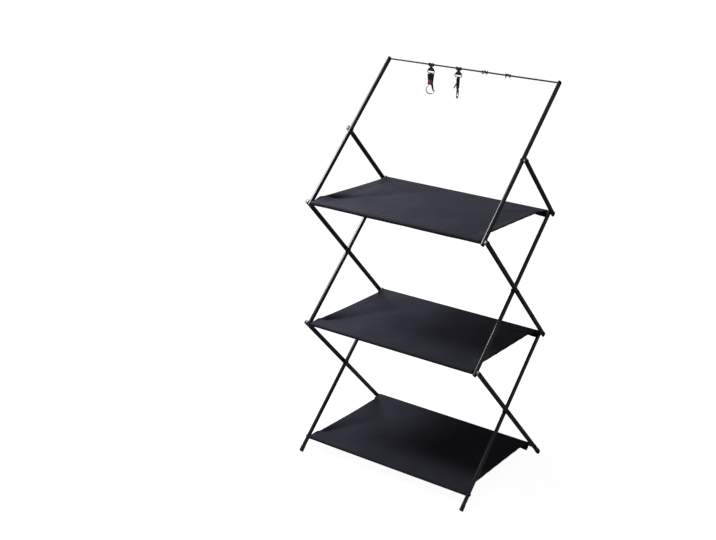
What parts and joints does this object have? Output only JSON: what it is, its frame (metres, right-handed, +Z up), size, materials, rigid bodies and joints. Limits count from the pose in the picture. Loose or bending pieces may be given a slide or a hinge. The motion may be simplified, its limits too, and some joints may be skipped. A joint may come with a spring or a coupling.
{
  "type": "folding camp shelf",
  "caption": "Free-standing folding camp shelf: fabric shelves on crossbars between scissor side frames of flat tube, with a hanging cord and snap hooks across the top.",
  "frame": {"origin": "on the ground, at the middle of the footprint of the four feet", "axes": "+Z up, +X to the right along the shelves' width, +Y to the back, where the hanging cord is"},
  "size_m": [0.635, 0.476, 1.2191],
  "materials": {
    "tube_coat": "satin black coating",
    "black_plastic": "fine moulded grain",
    "fastener_steel": "dark, satin",
    "hook_steel": "polished",
    "shelf_fabric": "plain weave, coated",
    "cord": "braided",
    "lever_plastic": "maroon"
  },
  "bodies": {
    "bottom_shelf": {"bottom_front_rod": "tube_coat", "bottom_front_screw_left": "fastener_steel", "bottom_front_screw_right": "fastener_steel", "bottom_sheet": "shelf_fabric"},
    "lower_inner_frame": {"lower_inner_bar_left": "tube_coat", "lower_inner_bar_right": "tube_coat", "front_foot_left": "black_plastic", "front_foot_right": "black_plastic", "middle_back_rod": "tube_coat", "middle_back_screw_left": "fastener_steel", "middle_back_screw_right": "fastener_steel", "lower_crossing_rivet_left": "fastener_steel", "lower_crossing_rivet_right": "fastener_steel"},
    "lower_outer_frame": {"lower_outer_bar_left": "tube_coat", "lower_outer_bar_right": "tube_coat", "back_foot_left": "black_plastic", "back_foot_right": "black_plastic", "bottom_back_rod": "tube_coat", "bottom_back_screw_left": "fastener_steel", "bottom_back_screw_right": "fastener_steel"},
    "upper_outer_frame": {"upper_outer_bar_left": "tube_coat", "upper_outer_bar_right": "tube_coat"},
    "upper_inner_frame": {"upper_inner_bar_left": "tube_coat", "upper_inner_bar_right": "tube_coat", "middle_front_rod": "tube_coat", "top_back_rod": "tube_coat", "middle_front_screw_left": "fastener_steel", "middle_front_screw_right": "fastener_steel", "top_back_screw_left": "fastener_steel", "top_back_screw_right": "fastener_steel", "upper_crossing_rivet_left": "fastener_steel", "upper_crossing_rivet_right": "fastener_steel"},
    "short_links": {"short_link_left": "tube_coat", "short_link_right": "tube_coat"},
    "hanger": {"hanger_bar_left": "tube_coat", "hanger_bar_right": "tube_coat", "hanger_tip_left": "black_plastic", "hanger_tip_right": "black_plastic", "top_front_rod": "tube_coat", "top_front_screw_left": "fastener_steel", "top_front_screw_right": "fastener_steel", "hanger_rivet_left": "fastener_steel", "hanger_rivet_right": "fastener_steel"},
    "middle_shelf": {"middle_sheet": "shelf_fabric"},
    "top_shelf": {"top_sheet": "shelf_fabric"},
    "cord": {"hanging_cord": "cord", "spare_loop_1": "cord", "spare_loop_2": "cord"},
    "hook_1_loop": {"hook_1_strap": "cord", "hook_1_eye": "black_plastic"},
    "hook_1_snap": {"hook_1_body": "black_plastic", "hook_1_wire": "hook_steel"},
    "hook_1_gate": {"hook_1_gate": "black_plastic"},
    "hook_1_lever": {"hook_1_lever": "lever_plastic"},
    "hook_2_loop": {"hook_2_strap": "cord", "hook_2_eye": "black_plastic"},
    "hook_2_snap": {"hook_2_body": "black_plastic", "hook_2_wire": "hook_steel"},
    "hook_2_gate": {"hook_2_gate": "black_plastic"},
    "hook_2_lever": {"hook_2_lever": "lever_plastic"}
  },
  "joints": [
    {"name": "fold", "type": "hinge", "parent": "bottom_shelf", "child": "lower_inner_frame", "pos_m": [0, -0.195, 0.041], "axis": [1, 0, 0], "range_deg": [0, 40], "deforming": ["bottom_sheet", "middle_sheet", "top_sheet"]},
    {"name": "lower_crossing", "type": "hinge", "parent": "lower_inner_frame", "child": "lower_outer_frame", "pos_m": [0, 0, 0.236], "axis": [1, 0, 0], "range_deg": [-80, 0]},
    {"name": "middle_back_pivot", "type": "hinge", "parent": "lower_inner_frame", "child": "upper_outer_frame", "pos_m": [0, 0.195, 0.431], "axis": [1, 0, 0], "range_deg": [-80, 0]},
    {"name": "upper_crossing", "type": "hinge", "parent": "upper_outer_frame", "child": "upper_inner_frame", "pos_m": [0, 0, 0.626], "axis": [1, 0, 0], "range_deg": [0, 80]},
    {"name": "top_back_pivot", "type": "hinge", "parent": "upper_inner_frame", "child": "short_links", "pos_m": [0, 0.195, 0.821], "axis": [1, 0, 0], "range_deg": [-80, 0]},
    {"name": "hanger_crossing", "type": "hinge", "parent": "short_links", "child": "hanger", "pos_m": [0, 0, 1.016], "axis": [1, 0, 0], "range_deg": [0, 80]},
    {"name": "middle_sleeve", "type": "hinge", "parent": "lower_inner_frame", "child": "middle_shelf", "pos_m": [0, 0.195, 0.431], "axis": [1, 0, 0], "range_deg": [-40, 0]},
    {"name": "top_sleeve", "type": "hinge", "parent": "upper_inner_frame", "child": "top_shelf", "pos_m": [0, 0.195, 0.821], "axis": [1, 0, 0], "range_deg": [-40, 0]},
    {"name": "cord_turn", "type": "hinge", "parent": "hanger", "child": "cord", "pos_m": [0, 0.195, 1.211], "axis": [1, 0, 0], "range_deg": [-40, 0]},
    {"name": "hook_1_swing", "type": "hinge", "parent": "cord", "child": "hook_1_loop", "pos_m": [-0.1425, 0.195, 1.211], "axis": [1, 0, 0], "range_deg": [-80, 80]},
    {"name": "hook_1_swivel", "type": "hinge", "parent": "hook_1_loop", "child": "hook_1_snap", "pos_m": [-0.1425, 0.195, 1.1827], "axis": [0, 0, 1], "continuous": true},
    {"name": "hook_1_gate_hinge", "type": "hinge", "parent": "hook_1_snap", "child": "hook_1_gate", "pos_m": [-0.13771, 0.19674, 1.1529], "axis": [-0.342, 0.9397, 0], "range_deg": [0, 22], "stiffness_Nm_per_rad": 0.01, "springref_deg": -11.46},
    {"name": "hook_1_lever_hinge", "type": "hinge", "parent": "hook_1_snap", "child": "hook_1_lever", "pos_m": [-0.14055, 0.18964, 1.1629], "axis": [0.9397, 0.342, 0], "range_deg": [0, 22]},
    {"name": "hook_2_swing", "type": "hinge", "parent": "cord", "child": "hook_2_loop", "pos_m": [-0.043, 0.195, 1.211], "axis": [1, 0, 0], "range_deg": [-80, 80]},
    {"name": "hook_2_swivel", "type": "hinge", "parent": "hook_2_loop", "child": "hook_2_snap", "pos_m": [-0.043, 0.195, 1.1827], "axis": [0, 0, 1], "continuous": true},
    {"name": "hook_2_gate_hinge", "type": "hinge", "parent": "hook_2_snap", "child": "hook_2_gate", "pos_m": [-0.04126, 0.19021, 1.1529], "axis": [0.9397, 0.342, 0], "range_deg": [0, 22], "stiffness_Nm_per_rad": 0.01, "springref_deg": -11.46},
    {"name": "hook_2_lever_hinge", "type": "hinge", "parent": "hook_2_snap", "child": "hook_2_lever", "pos_m": [-0.04836, 0.19305, 1.1629], "axis": [0.342, -0.9397, 0], "range_deg": [0, 22]}
  ],
  "couplings": [
    {"joint": "lower_crossing", "follows": "fold", "ratio": -2},
    {"joint": "middle_back_pivot", "follows": "fold", "ratio": -2},
    {"joint": "upper_crossing", "follows": "fold", "ratio": 2},
    {"joint": "top_back_pivot", "follows": "fold", "ratio": -2},
    {"joint": "hanger_crossing", "follows": "fold", "ratio": 2},
    {"joint": "middle_sleeve", "follows": "fold", "ratio": -1},
    {"joint": "top_sleeve", "follows": "fold", "ratio": -1},
    {"joint": "cord_turn", "follows": "fold", "ratio": -1},
    {"joint": "hook_1_lever_hinge", "follows": "hook_1_gate_hinge", "ratio": 1},
    {"joint": "hook_2_lever_hinge", "follows": "hook_2_gate_hinge", "ratio": 1}
  ]
}
